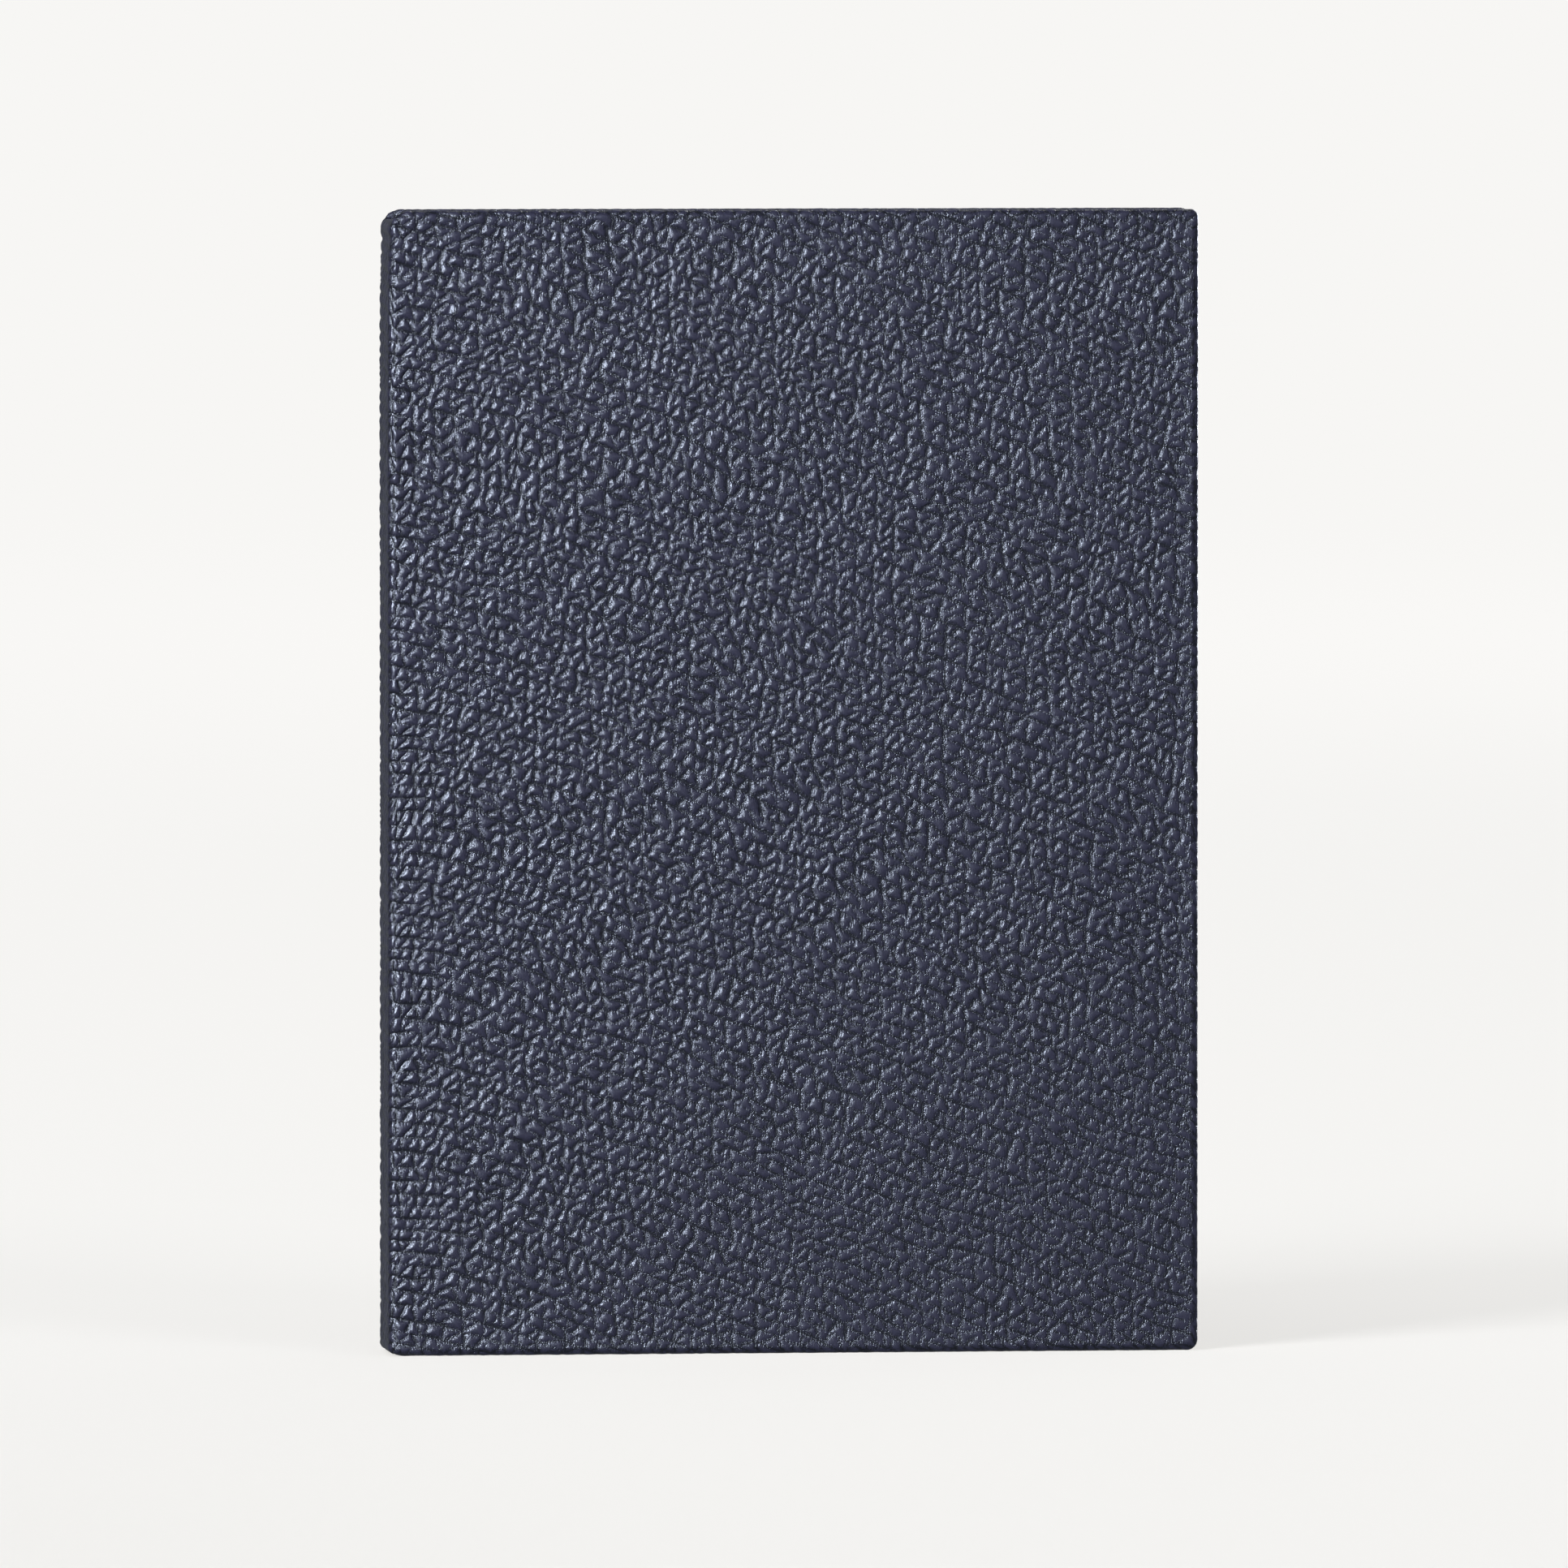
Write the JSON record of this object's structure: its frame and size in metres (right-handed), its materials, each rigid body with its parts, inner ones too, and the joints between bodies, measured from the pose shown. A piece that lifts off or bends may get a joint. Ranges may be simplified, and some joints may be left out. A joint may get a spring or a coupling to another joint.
{
  "type": "pilot logbook",
  "caption": "Upright hardback logbook in pebble-grain navy leather, with hinged covers, endpapers and sewn sections of ruled pages that fan open.",
  "frame": {"origin": "middle of the footprint, on the surface that the tail edge stands on", "axes": "+Z from tail to head, +X from spine to fore-edge, +Y from front cover to back cover"},
  "size_m": [0.154, 0.019, 0.216],
  "materials": {
    "leather": "navy pebble-grain leather, semi-gloss",
    "board": "grey millboard",
    "lining_card": "brown kraft card",
    "endpaper": "cream laid endpaper",
    "page_paper": "uncoated writing paper",
    "mull": "open cotton gauze",
    "tape": "woven linen tape",
    "thread": "waxed linen thread",
    "band_silk": "navy and cream worked band"
  },
  "bodies": {
    "spine": {"spine_leather": "leather", "spine_stiffener": "board", "hollow_tube": "lining_card", "mull": "mull", "sewing_tape_tail": "tape", "sewing_tape_middle": "tape", "sewing_tape_head": "tape", "sewing_thread": "thread", "headband": "band_silk", "tailband": "band_silk"},
    "front_cover": {"front_leather": "leather", "front_board": "board", "front_infill": "lining_card", "front_pastedown": "endpaper"},
    "back_cover": {"back_leather": "leather", "back_board": "board", "back_infill": "lining_card", "back_pastedown": "endpaper"},
    "front_flyleaf": {"front_flyleaf": "endpaper"},
    "back_flyleaf": {"back_flyleaf": "endpaper"},
    "section_1": {"section_1": "page_paper"},
    "section_2": {"section_2": "page_paper"},
    "section_3": {"section_3": "page_paper"},
    "section_4": {"section_4": "page_paper"},
    "section_5": {"section_5": "page_paper"},
    "section_6": {"section_6": "page_paper"},
    "section_7": {"section_7": "page_paper"},
    "section_8": {"section_8": "page_paper"}
  },
  "joints": [
    {"name": "front_cover_hinge", "type": "hinge", "parent": "spine", "child": "front_cover", "pos_m": [-0.0744, -0.0095, 0.108], "axis": [0, 0, -1], "range_deg": [0, 170]},
    {"name": "back_cover_hinge", "type": "hinge", "parent": "spine", "child": "back_cover", "pos_m": [-0.0744, 0.0095, 0.108], "axis": [0, 0, 1], "range_deg": [0, 170]},
    {"name": "front_flyleaf_turn", "type": "hinge", "parent": "spine", "child": "front_flyleaf", "pos_m": [-0.07233, -0.00532, 0.108], "axis": [0, 0, -1], "range_deg": [0, 96]},
    {"name": "back_flyleaf_turn", "type": "hinge", "parent": "spine", "child": "back_flyleaf", "pos_m": [-0.07233, 0.00532, 0.108], "axis": [0, 0, 1], "range_deg": [0, 96]},
    {"name": "section_1_turn", "type": "hinge", "parent": "spine", "child": "section_1", "pos_m": [-0.07216, -0.0045, 0.108], "axis": [0, 0, -1], "range_deg": [0, 24]},
    {"name": "section_2_turn", "type": "hinge", "parent": "spine", "child": "section_2", "pos_m": [-0.07216, -0.00321, 0.108], "axis": [0, 0, -1], "range_deg": [0, 18]},
    {"name": "section_3_turn", "type": "hinge", "parent": "spine", "child": "section_3", "pos_m": [-0.07216, -0.00193, 0.108], "axis": [0, 0, -1], "range_deg": [0, 12]},
    {"name": "section_4_turn", "type": "hinge", "parent": "spine", "child": "section_4", "pos_m": [-0.07216, -0.00064, 0.108], "axis": [0, 0, -1], "range_deg": [0, 6]},
    {"name": "section_5_turn", "type": "hinge", "parent": "spine", "child": "section_5", "pos_m": [-0.07216, 0.00064, 0.108], "axis": [0, 0, 1], "range_deg": [0, 6]},
    {"name": "section_6_turn", "type": "hinge", "parent": "spine", "child": "section_6", "pos_m": [-0.07216, 0.00193, 0.108], "axis": [0, 0, 1], "range_deg": [0, 12]},
    {"name": "section_7_turn", "type": "hinge", "parent": "spine", "child": "section_7", "pos_m": [-0.07216, 0.00321, 0.108], "axis": [0, 0, 1], "range_deg": [0, 18]},
    {"name": "section_8_turn", "type": "hinge", "parent": "spine", "child": "section_8", "pos_m": [-0.07216, 0.0045, 0.108], "axis": [0, 0, 1], "range_deg": [0, 24]}
  ],
  "couplings": [
    {"joint": "front_flyleaf_turn", "follows": "front_cover_hinge", "ratio": 0.5642},
    {"joint": "back_flyleaf_turn", "follows": "back_cover_hinge", "ratio": 0.5642},
    {"joint": "section_1_turn", "follows": "front_cover_hinge", "ratio": 0.1407},
    {"joint": "section_2_turn", "follows": "front_cover_hinge", "ratio": 0.1054},
    {"joint": "section_3_turn", "follows": "front_cover_hinge", "ratio": 0.0701},
    {"joint": "section_4_turn", "follows": "front_cover_hinge", "ratio": 0.0348},
    {"joint": "section_5_turn", "follows": "back_cover_hinge", "ratio": 0.0348},
    {"joint": "section_6_turn", "follows": "back_cover_hinge", "ratio": 0.0701},
    {"joint": "section_7_turn", "follows": "back_cover_hinge", "ratio": 0.1054},
    {"joint": "section_8_turn", "follows": "back_cover_hinge", "ratio": 0.1407}
  ]
}
